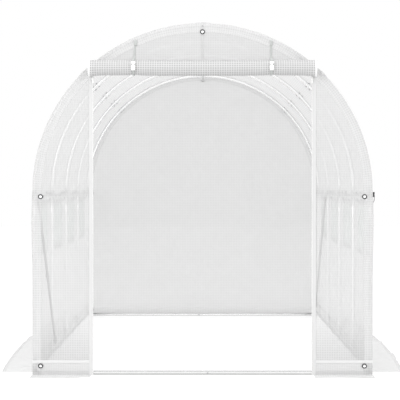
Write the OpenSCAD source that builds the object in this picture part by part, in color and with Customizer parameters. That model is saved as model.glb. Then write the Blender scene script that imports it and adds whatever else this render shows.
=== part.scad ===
// Walk-in polytunnel greenhouse: five tube hoops on a base frame, under a fabric cover
// with a rolled-up door, closed side windows and loose skirts on the ground.
// The door end faces -Y. The origin is on the ground, in the middle of the footprint.

/* [Hoops] */
// Distance between the two leg centres of a hoop
hoop_span = 1970; // [1200:10:3000]
// Height of the straight legs, from the ground to where the arch starts
leg_h = 1065; // [700:5:1600]
// Distance from one hoop to the next
bay_len = 1000; // [700:10:1500]
// Number of hoops
hoop_count = 5; // [3:1:7]
// Outer diameter of the hoop tubes
tube_d = 25; // [19:1:38]
// Angle above the springing line at which shoulder and crown tubes are joined
shoulder_deg = 45; // [30:5:60]

/* [Rails and braces] */
// Outer diameter of the ridge, side and base tubes that run along the tunnel
rail_d = 25; // [19:1:32]
// Distance between the centre of a hoop tube and the centre of a tube clamped inside it
rail_inset = 34; // [34:1:60]
// Height of the centre of the long base rails above the ground
side_rail_z = 55; // [50:1:120]
// Outer diameter of the diagonal braces
brace_d = 16; // [12:1:22]
// Thickness of the plastic caps on the ends of the long tubes
end_cap_t = 5; // [2:0.5:8]
// How far the caps stand out around their tube
end_cap_rim = 2; // [0:0.5:3]
// Size of a cross clamp along the tubes that it joins
clamp_size = 30; // [28:1:44]

/* [Cover] */
// Thickness of the cover fabric
cover_t = 2; // [1:0.5:4]
// Width of each front panel beside the doorway
front_panel_w = 346; // [200:2:500]
// How far the top edge of the doorway lies below the top of the arch
door_drop = 275; // [200:5:400]
// Width of the zip tapes beside the doorway
zip_w = 24; // [16:1:40]
// Thickness of the zip tapes
zip_t = 2; // [1:0.5:4]

/* [Rolled door] */
// Diameter of the rolled-up door
roll_d = 97; // [60:1:140]
// How far the roll reaches past the doorway on each side
roll_overhang = 13.5; // [0:0.5:40]
// Height of the centre of the roll above the top edge of the doorway
roll_rise = 14; // [-20:1:40]
// Distance of each hanging strap from the side edge of the doorway
strap_inset = 252; // [100:1:350]
// Width of the hanging straps
strap_w = 12; // [8:1:30]
// Thickness of the hanging straps
strap_t = 2; // [1:0.5:4]
// Size of a strap buckle across, deep and high
buckle = [24, 7, 52];

/* [Windows] */
// Distance from the middle of a hoop to the edge of the next window
window_margin = 130; // [80:5:250]
// Height of the mesh windows
window_h = 280; // [150:5:450]
// How far the top edge of the windows lies below the top of the legs
window_drop = 70; // [60:5:200]
// How far the closed flap laps over the mesh all round
flap_lap = 30; // [10:1:60]
// Diameter of the toggles that tie a rolled-up flap
toggle_d = 14; // [6:1:20]
// Length of the toggles
toggle_len = 32; // [20:1:60]
// How far the toggles stand in from the corners of the flap
toggle_inset = 20; // [10:1:100]

/* [Skirts] */
// Width of the side skirts at their ends
skirt_end_w = 200; // [100:5:300]
// Extra width of the side skirts in the middle of the tunnel
skirt_bulge = 70; // [10:5:120]
// How far the side skirts stop short of the end walls
skirt_short = 140; // [0:5:300]
// Width of the flaps on the ground before the front and behind the back
end_skirt_w = 140; // [60:5:250]

/* [Hidden] */

$fn = 96;

// Gap between pieces that lie on each other
seat = 0.3;

hoop_r = hoop_span / 2;
tube_r = tube_d / 2;
rail_r = rail_d / 2;
brace_r = brace_d / 2;
tunnel_len = bay_len * (hoop_count - 1);
first_y = -tunnel_len / 2;
last_y = tunnel_len / 2;

// Centre line of the rails clamped inside the hoops
rail_x = hoop_r - rail_inset;
ridge_z = leg_h + hoop_r - rail_inset;

// The side tubes lie just below the joint between leg and arch
side_tube_z = leg_h - clamp_size / 2 - seat;

// The cover lies on the outside of the hoops
cover_in_r = hoop_r + tube_r + seat;
cover_out_r = cover_in_r + cover_t;
cover_end_y = last_y + tube_r + seat;
wall_out_y = cover_end_y + cover_t;
rail_end_y = cover_end_y - seat - end_cap_t;

// The doorway and the windows
door_half = cover_out_r - front_panel_w;
door_top_z = leg_h + cover_out_r - door_drop;
window_w = bay_len - 2 * window_margin;
window_z = leg_h - window_drop - window_h;
flap_top_z = window_z + window_h + flap_lap;

// The roll hangs against the front panels
roll_r = roll_d / 2;
roll_len = 2 * (door_half + roll_overhang);
roll_z = door_top_z + roll_rise;
strap_x = door_half - strap_inset;
roll_y = -wall_out_y - seat - roll_r;

FRAME_WHITE = [0.93, 0.93, 0.92];
CLAMP_WHITE = [0.86, 0.87, 0.87];
CAP_BLACK = [0.12, 0.12, 0.13];
FABRIC = [0.92, 0.94, 0.93, 0.75];
MESH = [0.80, 0.84, 0.82, 0.6];
TAPE = [0.95, 0.95, 0.95];
STRAP_GREY = [0.66, 0.69, 0.67];

// ---------- helpers ----------

// Centre of hoop number i along the tunnel
function hoop_y(i) = first_y + i * bay_len;

// Middle of bay number i along the tunnel
function bay_y(i) = first_y + (i + 0.5) * bay_len;

// Round bar along Y with its centre at x, z
module bar_y(x, z, r, from_y, to_y) {
    translate([x, from_y, z]) rotate([-90, 0, 0]) cylinder(r = r, h = to_y - from_y);
}

// Round bar along X with its centre at y, z
module bar_x(y, z, r, from_x, to_x) {
    translate([from_x, y, z]) rotate([0, 90, 0]) cylinder(r = r, h = to_x - from_x);
}

// Part of a hoop's arch, from one angle to another above the springing line on the right
module arch_tube(y, r, from_deg, to_deg) {
    translate([0, y, leg_h]) rotate([90, 0, 0]) rotate([0, 0, from_deg])
        rotate_extrude(angle = to_deg - from_deg) translate([hoop_r, 0]) circle(r = r);
}

// Outline of an end wall, seen from the front: straight sides and a round top
module end_outline(r, base_z) {
    translate([-r, base_z]) square([2 * r, leg_h - base_z]);
    translate([0, leg_h]) circle(r = r, $fn = 180);
}

// A flat piece of the end outline, standing between two values of y
module end_slab(from_y, to_y) {
    translate([0, to_y, 0]) rotate([90, 0, 0]) linear_extrude(to_y - from_y) children();
}

// ---------- frame ----------

// Five legs on one side; the first and the last stand on the cross rails
module hoop_legs(side) {
    color(FRAME_WHITE)
    difference() {
        for (i = [0 : hoop_count - 1])
            translate([side * hoop_r, hoop_y(i), 0]) cylinder(r = tube_r, h = leg_h);
        for (y = [first_y, last_y]) {
            bar_x(y, tube_r, tube_r + seat, -2 * hoop_r, 2 * hoop_r);
            translate([side * hoop_r - tube_d, y - tube_d, -1]) cube([2 * tube_d, 2 * tube_d, tube_r + 1]);
        }
    }
}

// Five curved tubes from the legs up to the shoulder joints
module hoop_shoulders(from_deg, to_deg) {
    color(FRAME_WHITE)
    for (i = [0 : hoop_count - 1]) arch_tube(hoop_y(i), tube_r, from_deg, to_deg);
}

// Five curved tubes across the top
module hoop_crowns() {
    color(FRAME_WHITE)
    for (i = [0 : hoop_count - 1]) arch_tube(hoop_y(i), tube_r, shoulder_deg, 180 - shoulder_deg);
}

module long_tube(x, z) {
    color(FRAME_WHITE) bar_y(x, z, rail_r, -rail_end_y, rail_end_y);
}

// Rail on the ground under an end hoop, of the same tube as the hoop
module cross_rail(y) {
    color(FRAME_WHITE) bar_x(y, tube_r, tube_r, -hoop_r - tube_r, hoop_r + tube_r);
}

// Diagonal tube inside the legs, from the top of one leg to the foot of the next
module brace(side, top_y, foot_y) {
    x = side * (hoop_r - tube_r - seat - brace_r);
    top_z = side_tube_z - clamp_size / 2 - brace_d;
    foot_z = side_rail_z + clamp_size / 2 + brace_d;
    run = foot_y - top_y;
    drop = top_z - foot_z;
    color(FRAME_WHITE)
    translate([x, top_y, top_z])
        rotate([-90 - atan2(drop, run), 0, 0])
            cylinder(r = brace_r, h = norm([run, drop]));
}

// Block that grips a hoop leg and the rail inside it
module side_clamp(side, y, z) {
    translate([side * hoop_r, y, z])
    difference() {
        translate([side > 0 ? -rail_inset : 0, -clamp_size / 2, -clamp_size / 2])
            cube([rail_inset, clamp_size, clamp_size]);
        translate([0, 0, -clamp_size]) cylinder(r = tube_r + seat, h = 2 * clamp_size);
        translate([-side * rail_inset, -clamp_size, 0])
            rotate([-90, 0, 0]) cylinder(r = rail_r + seat, h = 2 * clamp_size);
    }
}

// Block that hangs the ridge tube under a crown
module ridge_clamp(y) {
    difference() {
        translate([-clamp_size / 2, y - clamp_size / 2, ridge_z]) cube([clamp_size, clamp_size, rail_inset]);
        arch_tube(y, tube_r + seat, 60, 120);
        bar_y(0, ridge_z, rail_r + seat, y - clamp_size, y + clamp_size);
    }
}

// Clamps on the inner hoops are whole; those at the ends stop inside the cover
module cross_clamps() {
    color(CLAMP_WHITE)
    intersection() {
        for (i = [0 : hoop_count - 1]) {
            for (side = [-1, 1]) {
                side_clamp(side, hoop_y(i), side_tube_z);
                side_clamp(side, hoop_y(i), side_rail_z);
            }
            ridge_clamp(hoop_y(i));
        }
        translate([-hoop_span, -rail_end_y, 0]) cube([2 * hoop_span, 2 * rail_end_y, 2 * hoop_span]);
    }
}

// Caps on both ends of the four side tubes and of the ridge tube
module tube_end_caps() {
    color(CAP_BLACK)
    for (end = [-1, 1]) {
        from_y = end > 0 ? rail_end_y : -rail_end_y - end_cap_t;
        for (side = [-1, 1]) for (z = [side_tube_z, side_rail_z])
            bar_y(side * rail_x, z, rail_r + end_cap_rim, from_y, from_y + end_cap_t);
        bar_y(0, ridge_z, rail_r, from_y, from_y + end_cap_t);
    }
}

// ---------- cover ----------

module roof_cover() {
    color(FABRIC)
    end_slab(-cover_end_y, cover_end_y)
        translate([0, leg_h]) difference() {
            circle(r = cover_out_r, $fn = 180);
            circle(r = cover_in_r, $fn = 180);
            translate([-2 * hoop_r, -4 * hoop_r]) square([4 * hoop_r, 4 * hoop_r]);
        }
}

// Places a sheet that stands outside radius r on one side, with its thickness outwards
module on_side(side, r, t) {
    translate([side > 0 ? r : -r - t, 0, 0]) children();
}

module side_wall(side) {
    color(FABRIC)
    on_side(side, cover_in_r, cover_t) difference() {
        translate([0, -cover_end_y, cover_t]) cube([cover_t, 2 * cover_end_y, leg_h - cover_t]);
        for (i = [0 : hoop_count - 2])
            translate([-1, bay_y(i) - window_w / 2, window_z]) cube([cover_t + 2, window_w, window_h]);
    }
}

module window_screens(side) {
    color(MESH)
    on_side(side, cover_in_r, cover_t)
        for (i = [0 : hoop_count - 2])
            translate([0, bay_y(i) - window_w / 2, window_z]) cube([cover_t, window_w, window_h]);
}

module window_flaps(side) {
    color(FABRIC)
    on_side(side, cover_out_r + seat, cover_t)
        for (i = [0 : hoop_count - 2])
            translate([0, bay_y(i) - window_w / 2 - flap_lap, window_z - flap_lap])
                cube([cover_t, window_w + 2 * flap_lap, window_h + 2 * flap_lap]);
}

// Two toggles hang above each flap
module window_toggles(side) {
    color(CAP_BLACK)
    for (i = [0 : hoop_count - 2]) for (end = [-1, 1])
        translate([side * (cover_out_r + seat + toggle_d / 2),
                   bay_y(i) + end * (window_w / 2 + flap_lap - toggle_inset), flap_top_z + toggle_inset])
            cylinder(r = toggle_d / 2, h = toggle_len);
}

// Front panel beside the doorway, up to the arch
module front_panel(side) {
    color(FABRIC)
    end_slab(-wall_out_y, -cover_end_y)
        intersection() {
            end_outline(cover_out_r, cover_t);
            translate([side > 0 ? door_half : -2 * hoop_r - door_half, 0]) square([2 * hoop_r, 3 * hoop_r]);
        }
}

// Front panel between the doorway and the arch
module front_panel_top() {
    color(FABRIC)
    end_slab(-wall_out_y, -cover_end_y)
        intersection() {
            end_outline(cover_out_r, cover_t);
            translate([-door_half, door_top_z]) square([2 * door_half, 2 * hoop_r]);
        }
}

module rear_wall() {
    color(FABRIC) end_slab(cover_end_y, wall_out_y) end_outline(cover_out_r, cover_t);
}

// ---------- rolled door ----------

module door_roll() {
    color(FABRIC) bar_x(roll_y, roll_z, roll_r, -roll_len / 2, roll_len / 2);
}

module door_zip(side) {
    color(TAPE)
    translate([side * door_half - zip_w / 2, -wall_out_y - seat - zip_t, cover_t])
        cube([zip_w, zip_t, roll_z - roll_r - seat - cover_t]);
}

// Side view of a strap: it leaves the arch, runs down to the roll and once around it
module strap_outline() {
    top_z = leg_h + sqrt(cover_out_r * cover_out_r - strap_x * strap_x) - strap_w;
    back_y = -wall_out_y - seat;
    difference() {
        translate([roll_y, roll_z]) circle(r = roll_r + seat + strap_t);
        translate([roll_y, roll_z]) circle(r = roll_r + seat);
        translate([back_y, 0]) square([roll_d, 3 * hoop_r]);
    }
    difference() {
        polygon([[back_y, top_z], [back_y - strap_t, top_z],
                 [roll_y - strap_t, roll_z + roll_r + seat], [roll_y + strap_t, roll_z + roll_r + seat]]);
        translate([roll_y, roll_z]) circle(r = roll_r + seat);
    }
}

module door_straps() {
    color(STRAP_GREY)
    for (side = [-1, 1])
        translate([side * strap_x - strap_w / 2, 0, 0])
            rotate([90, 0, 90]) linear_extrude(strap_w) strap_outline();
}

// Buckles lie on the straps, high on the front of the roll
module strap_buckles() {
    color(TAPE)
    for (side = [-1, 1])
        translate([side * strap_x - buckle[0] / 2,
                   roll_y - roll_r - 2 * seat - strap_t - buckle[1], roll_z - buckle[2] / 4])
            cube(buckle);
}

// ---------- skirts ----------

// Fabric on the ground beside the tunnel, widest in the middle
module side_skirt(side) {
    half_len = cover_end_y - skirt_short;
    bow_r = (half_len * half_len + skirt_bulge * skirt_bulge) / (2 * skirt_bulge);
    outer_x = cover_in_r + skirt_end_w + skirt_bulge;
    color(FABRIC)
    linear_extrude(cover_t) intersection() {
        translate([side * (outer_x - bow_r), 0]) circle(r = bow_r, $fn = 720);
        translate([side > 0 ? cover_in_r : -outer_x, -half_len])
            square([outer_x - cover_in_r, 2 * half_len]);
    }
}

module skirt_front() {
    color(FABRIC)
    for (side = [-1, 1])
        translate([side > 0 ? door_half : -cover_out_r, -wall_out_y - end_skirt_w, 0])
            cube([cover_out_r - door_half, end_skirt_w + cover_t, cover_t]);
}

module skirt_back() {
    color(FABRIC)
    translate([-cover_out_r, cover_end_y, 0]) cube([2 * cover_out_r, end_skirt_w + cover_t, cover_t]);
}

hoop_legs(-1);  // hoop_legs_left
hoop_legs(1);  // hoop_legs_right
hoop_shoulders(180 - shoulder_deg, 180);  // hoop_shoulders_left
hoop_shoulders(0, shoulder_deg);  // hoop_shoulders_right
hoop_crowns();
long_tube(0, ridge_z);  // ridge_tube
long_tube(-rail_x, side_tube_z);  // side_tube_left
long_tube(rail_x, side_tube_z);  // side_tube_right
long_tube(-rail_x, side_rail_z);  // base_rail_left
long_tube(rail_x, side_rail_z);  // base_rail_right
cross_rail(first_y);  // base_rail_front
cross_rail(last_y);  // base_rail_back
brace(-1, hoop_y(0), hoop_y(1));  // brace_left
brace(1, hoop_y(hoop_count - 2), hoop_y(hoop_count - 1));  // brace_right
cross_clamps();
tube_end_caps();
roof_cover();
side_wall(-1);  // side_wall_left
side_wall(1);  // side_wall_right
window_screens(-1);  // window_screens_left
window_screens(1);  // window_screens_right
window_flaps(-1);  // window_flaps_left
window_flaps(1);  // window_flaps_right
window_toggles(-1);  // window_toggles_left
window_toggles(1);  // window_toggles_right
front_panel(-1);  // front_panel_left
front_panel(1);  // front_panel_right
front_panel_top();
rear_wall();
door_roll();
door_zip(-1);  // door_zip_left
door_zip(1);  // door_zip_right
door_straps();
strap_buckles();
side_skirt(-1);  // skirt_left
side_skirt(1);  // skirt_right
skirt_front();
skirt_back();
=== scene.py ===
# %% [markdown]
# # A walk-in polytunnel greenhouse
#
# The tunnel is a row of five white steel hoops on a base of tubes. A thin white film,
# woven through with a square grid of threads, is pulled over them. The door is rolled up
# above the doorway, the side windows are shut, and loose skirts lie on the ground.
# The frame below comes from the CAD model and is only read here. Every size is in metres.

# %% Load the CAD frame
import math

import bmesh
import bpy
import numpy as np
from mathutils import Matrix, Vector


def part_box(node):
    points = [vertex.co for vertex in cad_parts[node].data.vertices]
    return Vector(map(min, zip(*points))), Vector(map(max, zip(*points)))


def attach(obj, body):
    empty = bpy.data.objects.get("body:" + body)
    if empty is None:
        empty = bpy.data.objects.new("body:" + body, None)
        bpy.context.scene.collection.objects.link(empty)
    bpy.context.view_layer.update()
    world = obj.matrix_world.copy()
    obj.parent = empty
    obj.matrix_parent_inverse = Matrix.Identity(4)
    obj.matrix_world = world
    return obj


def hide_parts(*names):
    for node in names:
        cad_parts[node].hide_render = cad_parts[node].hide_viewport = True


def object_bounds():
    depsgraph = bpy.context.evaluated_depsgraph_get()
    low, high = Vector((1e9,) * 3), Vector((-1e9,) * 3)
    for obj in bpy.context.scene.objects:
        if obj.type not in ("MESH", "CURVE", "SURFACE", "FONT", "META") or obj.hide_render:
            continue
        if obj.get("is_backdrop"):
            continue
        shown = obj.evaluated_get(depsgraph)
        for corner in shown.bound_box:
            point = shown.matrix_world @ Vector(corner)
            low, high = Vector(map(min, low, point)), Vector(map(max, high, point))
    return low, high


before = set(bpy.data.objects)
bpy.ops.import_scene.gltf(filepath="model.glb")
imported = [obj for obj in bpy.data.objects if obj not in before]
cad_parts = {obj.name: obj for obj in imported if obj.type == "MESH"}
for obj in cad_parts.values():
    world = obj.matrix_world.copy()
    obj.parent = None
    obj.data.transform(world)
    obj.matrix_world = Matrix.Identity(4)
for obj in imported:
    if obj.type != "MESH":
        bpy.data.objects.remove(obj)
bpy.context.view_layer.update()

# %% [markdown]
# ## Sizes
#
# A piece can only fit the frame if its size is read from the frame. The roof's box gives
# the radius of the arch, the legs' box the height where it starts, and the crowns' box the
# places of the hoops. Only what the CAD model leaves out gets a number of its own.

# %% Sizes read from the frame
def corners(node):
    """The lowest and the highest corner of a CAD node, as two arrays of three numbers."""
    low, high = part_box(node)
    return np.array(low), np.array(high)


def middle_and_half(node):
    """The middle of a CAD node's box and half its size, as two arrays of three numbers."""
    low, high = corners(node)
    return (low + high) / 2, (high - low) / 2


roof_low, roof_high = corners("roof_cover")
crown_low, crown_high = corners("hoop_crowns")
leg_low, leg_high = corners("hoop_legs_right")
panel_low = corners("front_panel_right")[0]

HOOP_COUNT = 5
COVER_R = roof_high[0]
SPRING_Z = leg_high[2]
TUBE_R = (leg_high[0] - leg_low[0]) / 2
RAIL_R = middle_and_half("ridge_tube")[1][0]
HOOP_R = leg_high[0] - TUBE_R
HOOP_Y = np.linspace(crown_low[1] + TUBE_R, crown_high[1] - TUBE_R, HOOP_COUNT)
BAY = HOOP_Y[1] - HOOP_Y[0]
FRONT_Y = panel_low[1]
BACK_Y = corners("rear_wall")[1][1]
DOOR_HALF = panel_low[0]
DOOR_TOP = corners("front_panel_top")[0][2]
SIDES = ((-1, "left"), (1, "right"))
print(f"arch radius {COVER_R:.4f}, spring {SPRING_Z:.3f}, hoops at {HOOP_Y.round(3)}")

# %% [markdown]
# ## Camera
#
# The view is dead on to the door end from 8.8 m away, through a long lens, with the eye at
# a little over half the height of the tunnel. The camera looks down by about half a degree.

# %% Camera
CAMERA_DISTANCE = 8.82
CAMERA_X = 0.009
CAMERA_Z = 1.112
LENS_MM = 135.0
LOOK_DOWN = math.radians(0.535)
LOOK_LEFT = math.radians(0.153)

scene = bpy.context.scene
camera = bpy.data.objects.new("camera", bpy.data.cameras.new("camera"))
scene.collection.objects.link(camera)
scene.camera = camera
camera.data.lens = LENS_MM
camera.data.clip_end = 200
camera.location = (CAMERA_X, HOOP_Y[0] - CAMERA_DISTANCE, CAMERA_Z)
camera.rotation_euler = (math.pi / 2 - LOOK_DOWN, 0, LOOK_LEFT)
print("camera at", [round(v, 3) for v in camera.location])

# %% [markdown]
# ## Helpers for nodes
#
# A material is a small network of nodes. It could be wired by hand, node by node, but the
# same few lines would come back for each. So one helper makes a node and fills in its
# inputs, and short helpers on top of it make a sum, a smooth step or a mix of two shaders.

# %% Node helpers
def add_node(tree, kind, inputs=(), **settings):
    """A new node with its settings, and its inputs set to values or linked to sockets.

    Inputs goes from the name or the number of an input to a number, a colour or a socket.
    """
    node = tree.nodes.new(kind)
    for name, value in settings.items():
        setattr(node, name, value)
    for key, value in dict(inputs).items():
        if isinstance(value, bpy.types.NodeSocket):
            tree.links.new(value, node.inputs[key])
        else:
            node.inputs[key].default_value = value
    return node


def math_node(tree, operation, a, b, clamp=False):
    """The result of one step of arithmetic on two numbers or sockets, as a socket."""
    node = add_node(tree, "ShaderNodeMath", {0: a, 1: b}, operation=operation, use_clamp=clamp)
    return node.outputs[0]


def ramp_between(tree, value, low, high, to_low=0.0, to_high=1.0):
    """A smooth step: to_low under low, to_high over high, an S-curve between."""
    inputs = {"Value": value, "From Min": low, "From Max": high, "To Min": to_low, "To Max": to_high}
    return add_node(tree, "ShaderNodeMapRange", inputs, interpolation_type="SMOOTHSTEP").outputs["Result"]


def mix_shaders(tree, share, first, second):
    """A node that is the first shader where the share is 0 and the second where it is 1."""
    return add_node(tree, "ShaderNodeMixShader", {"Fac": share, 1: first.outputs[0], 2: second.outputs[0]})


def new_material(name):
    """An empty node material and its node tree."""
    material = bpy.data.materials.new(name)
    material.use_nodes = True
    material.node_tree.nodes.clear()
    return material, material.node_tree


def finish_material(material, shader):
    """Links the last shader node to the material's output, and gives back the material."""
    add_node(material.node_tree, "ShaderNodeOutputMaterial", {"Surface": shader.outputs[0]})
    return material

# %% [markdown]
# ## Floor
#
# The floor is only a stage for the tunnel. A plain grey floor would throw a hard shade up
# into the film, so it glows a little, as a light table does, and the shade stays soft.

# %% Floor
FLOOR_HALF = 30.0
FLOOR_Z = -0.001
FLOOR_GLOW = 0.75


def floor_material(glow):
    """Pale matt floor with a glow of its own."""
    material, tree = new_material("pale_floor")
    inputs = {"Base Color": (0.30, 0.30, 0.30, 1), "Roughness": 0.9, "Specular IOR Level": 0.1,
              "Emission Color": (1, 1, 1, 1), "Emission Strength": glow}
    return finish_material(material, add_node(tree, "ShaderNodeBsdfPrincipled", inputs))


floor_mesh = bpy.data.meshes.new("floor")
floor_corners = [(FLOOR_HALF * x, FLOOR_HALF * y, 0) for x, y in ((-1, -1), (1, -1), (1, 1), (-1, 1))]
floor_mesh.from_pydata(floor_corners, [], [(0, 1, 2, 3)])
floor_mesh.materials.append(floor_material(FLOOR_GLOW))
floor = bpy.data.objects.new("floor", floor_mesh)
scene.collection.objects.link(floor)
floor.location.z = FLOOR_Z
floor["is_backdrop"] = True

# %% [markdown]
# ## Light
#
# Most of what shows in white film is the light behind it, and a white tube in an even white
# room has no edges at all. So the world looks plain white to the camera, but as light it is
# strong from the door end and weak from the far end and from overhead, which darkens the
# edges of the tubes. Two large soft panels, one overhead and one in front, do the rest.

# %% World and lights
def studio_world(front, back, lift):
    """A world that the camera sees as plain white, and that lights the object unevenly.

    As light, its strength goes from front to back as the direction's y goes from -1 to 1,
    and changes by lift as its z goes from 0 to 1, each by a smooth step.
    """
    world = bpy.data.worlds.new("studio")
    world.use_nodes = True
    tree = world.node_tree
    tree.nodes.clear()
    where = add_node(tree, "ShaderNodeTexCoord").outputs["Generated"]
    direction = add_node(tree, "ShaderNodeSeparateXYZ", {"Vector": where}).outputs
    level = ramp_between(tree, direction["Y"], -1.0, 1.0, front, back)
    overhead = ramp_between(tree, direction["Z"], 0.0, 1.0, 0.0, lift)
    strengths = (math_node(tree, "ADD", level, overhead), 1.0)
    soft_light, backdrop = [
        add_node(tree, "ShaderNodeBackground", {"Color": (1, 1, 1, 1), "Strength": strength})
        for strength in strengths]
    seen = add_node(tree, "ShaderNodeLightPath").outputs["Is Camera Ray"]
    mixed = mix_shaders(tree, seen, soft_light, backdrop)
    add_node(tree, "ShaderNodeOutputWorld", {"Surface": mixed.outputs[0]})
    return world


def area_light(name, place, target, size, power):
    """A square soft light at a place, turned to face a target."""
    data = bpy.data.lights.new(name, "AREA")
    data.shape = "SQUARE"
    data.size = size
    data.energy = power
    light = bpy.data.objects.new(name, data)
    scene.collection.objects.link(light)
    light.location = place
    direction = np.array(target, dtype=float) - np.array(place, dtype=float)
    yaw = math.atan2(direction[0], -direction[1])
    pitch = math.acos(-direction[2] / np.linalg.norm(direction))
    light.rotation_euler = (pitch, 0, yaw + math.pi)
    print(f"{name}: {size} m wide, {power} W")


scene.world = studio_world(front=1.85, back=0.48, lift=-0.30)
scene.view_settings.view_transform = "Standard"
scene.cycles.transparent_max_bounces = 24
area_light("overhead", (0, -0.5, 5.5), (0, 0, 0), 5.0, 86)
area_light("front_left", (-4.5, -7.0, 3.0), (0, 0, 1.0), 3.0, 75)

# %% [markdown]
# ## Building surfaces from arrays
#
# Nearly every piece here is a grid of points: a sheet of film, a tube, a strap. So one
# helper turns an array of rows and columns of points into a mesh. It also stores a map
# of the flat cloth in metres, which lets the woven grid follow the cloth round the arch.

# %% Grid surfaces
def link_mesh(name, vertices, faces, uvs=None, materials=(), face_material=None, smooth=True):
    """A mesh object from arrays: vertices (n, 3), faces (m, 4), and uvs for each corner."""
    mesh = bpy.data.meshes.new(name)
    sides = faces.shape[1]
    mesh.vertices.add(len(vertices))
    mesh.vertices.foreach_set("co", np.asarray(vertices, dtype=np.float32).ravel())
    mesh.loops.add(faces.size)
    mesh.loops.foreach_set("vertex_index", faces.ravel().astype(np.int32))
    mesh.polygons.add(len(faces))
    mesh.polygons.foreach_set("loop_start", np.arange(0, faces.size, sides, dtype=np.int32))
    mesh.polygons.foreach_set("use_smooth", np.full(len(faces), smooth))
    if uvs is not None:
        layer = mesh.uv_layers.new(name="cloth")
        layer.data.foreach_set("uv", np.asarray(uvs, dtype=np.float32).ravel())
    for material in materials:
        mesh.materials.append(material)
    if face_material is not None:
        mesh.polygons.foreach_set("material_index", np.asarray(face_material, dtype=np.int32))
    mesh.update(calc_edges=True)
    mesh.validate()
    piece = bpy.data.objects.new(name, mesh)
    scene.collection.objects.link(piece)
    return piece


def cell_corners(grid):
    """The values at the four corners of each cell of a grid: (i, j), (i, j+1), (i+1, j+1), (i+1, j)."""
    return np.stack([grid[:-1, :-1], grid[:-1, 1:], grid[1:, 1:], grid[1:, :-1]], axis=2)


def grid_arrays(points, uv=None, keep=None, close_columns=False):
    """Turns a (rows, columns, 3) grid into vertices, a quad for each cell, and corner uvs.

    Keep says which cells are there. With close_columns, the last column joins the first,
    which makes a tube.
    """
    rows, columns = points.shape[:2]
    index = np.arange(rows * columns).reshape(rows, columns)
    if close_columns:
        index = np.hstack([index, index[:, :1]])
        if uv is not None:
            uv = np.hstack([uv, uv[:, -1:] + (uv[:, -1:] - uv[:, -2:-1])])
    quads = cell_corners(index)
    keep = np.full(quads.shape[:2], True) if keep is None else keep
    corner_uv = None if uv is None else cell_corners(uv)[keep].reshape(-1, 2)
    return points.reshape(-1, 3), quads[keep], corner_uv


def sheet_mesh(name, points, cloth, materials, slots=0, keep=None, flip=False):
    """A sheet from a grid of points and the flat cloth coordinates of each.

    Slots gives each cell the number of its material, and keep says which cells are there.
    Flip takes the columns from last to first, which turns the faces over.
    """
    order = slice(None, None, -1 if flip else 1)
    cells = (points.shape[0] - 1, points.shape[1] - 1)
    keep = (np.full(cells, True) if keep is None else keep)[:, order]
    slots = np.broadcast_to(slots, cells)[:, order][keep]
    return link_mesh(name, *grid_arrays(points[:, order], cloth[:, order], keep),
                     materials=materials, face_material=slots)


def join_arrays(parts):
    """Joins several (vertices, faces, uvs) triples into one, shifting the face numbers."""
    counts = np.cumsum([0] + [len(part[0]) for part in parts])
    vertices = np.concatenate([part[0] for part in parts])
    faces = np.concatenate([part[1] + shift for part, shift in zip(parts, counts)])
    mapped = all(part[2] is not None for part in parts)
    return vertices, faces, np.concatenate([part[2] for part in parts]) if mapped else None

# %% [markdown]
# ## Finishing a piece
#
# A grid that closes on itself leaves points that lie on each other, so they are welded. A
# finished piece is then hung on the body, and the plain CAD solids it stands for are hidden.

# %% Welding, placing and spacing
WELD_DISTANCE = 1e-5


def edit_mesh(piece, change):
    """Opens a piece's mesh, applies a change to it and writes it back."""
    work = bmesh.new()
    work.from_mesh(piece.data)
    change(work)
    work.to_mesh(piece.data)
    work.free()


def weld(piece, outwards=True):
    """Merges points that lie on each other and, on a closed piece, turns all faces outwards."""
    def change(work):
        """Welds the open mesh, clears its slivers and turns its faces."""
        bmesh.ops.remove_doubles(work, verts=work.verts, dist=WELD_DISTANCE)
        bmesh.ops.dissolve_degenerate(work, edges=work.edges, dist=1e-7)
        if outwards:
            bmesh.ops.recalc_face_normals(work, faces=work.faces)
    edit_mesh(piece, change)


def place(piece, slot, *nodes):
    """Lets a finished piece ride on the body and hides the CAD nodes it stands for; the slot is not used."""
    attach(piece, "root")
    if nodes:
        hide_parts(*nodes)
    print(f"{piece.name}: {len(piece.data.polygons)} faces")
    return piece


def spaced(*stretches):
    """Numbers in rising order from (start, end, steps) stretches, each met once."""
    values = np.sort(np.concatenate([np.linspace(a, b, n + 1) for a, b, n in stretches]))
    return values[np.concatenate([[True], np.diff(values) > 1e-6])]


def run_along(path):
    """The distance along a path of points from its start to each of them."""
    return np.concatenate([[0], np.cumsum(np.linalg.norm(np.diff(path, axis=0), axis=1))])


def stacked(*parts):
    """Numbers and arrays, spread to one shape, side by side on a new last axis."""
    return np.stack(np.broadcast_arrays(*parts), axis=-1)

# %% [markdown]
# ## The woven film
#
# Greenhouse film of this kind is two layers of clear plastic with a net of flat threads
# between them. The threads are white, and the squares between them are hazy and let more of
# the view through. A picture of the net isn't needed: the distance to the nearest thread is
# a triangle wave of the cloth's own coordinates, and a smooth step makes it a line.

# %% Helpers for patterns
MIX_A, MIX_B, MIX_RESULT = 6, 7, 2      # the colour sockets of a Mix node, by number


def mix_colours(tree, factor, a, b):
    """Colour a where the factor is 0 and b where it is 1; each is three numbers or a socket."""
    a, b = [(*colour, 1) if isinstance(colour, tuple) else colour for colour in (a, b)]
    node = add_node(tree, "ShaderNodeMix", {"Factor": factor, MIX_A: a, MIX_B: b}, data_type="RGBA")
    return node.outputs[MIX_RESULT]


def cloth_axes(tree):
    """The two flat cloth coordinates, in metres, as sockets."""
    uv = add_node(tree, "ShaderNodeUVMap", uv_map="cloth").outputs["UV"]
    split = add_node(tree, "ShaderNodeSeparateXYZ", {"Vector": uv}).outputs
    return split["X"], split["Y"]


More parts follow.
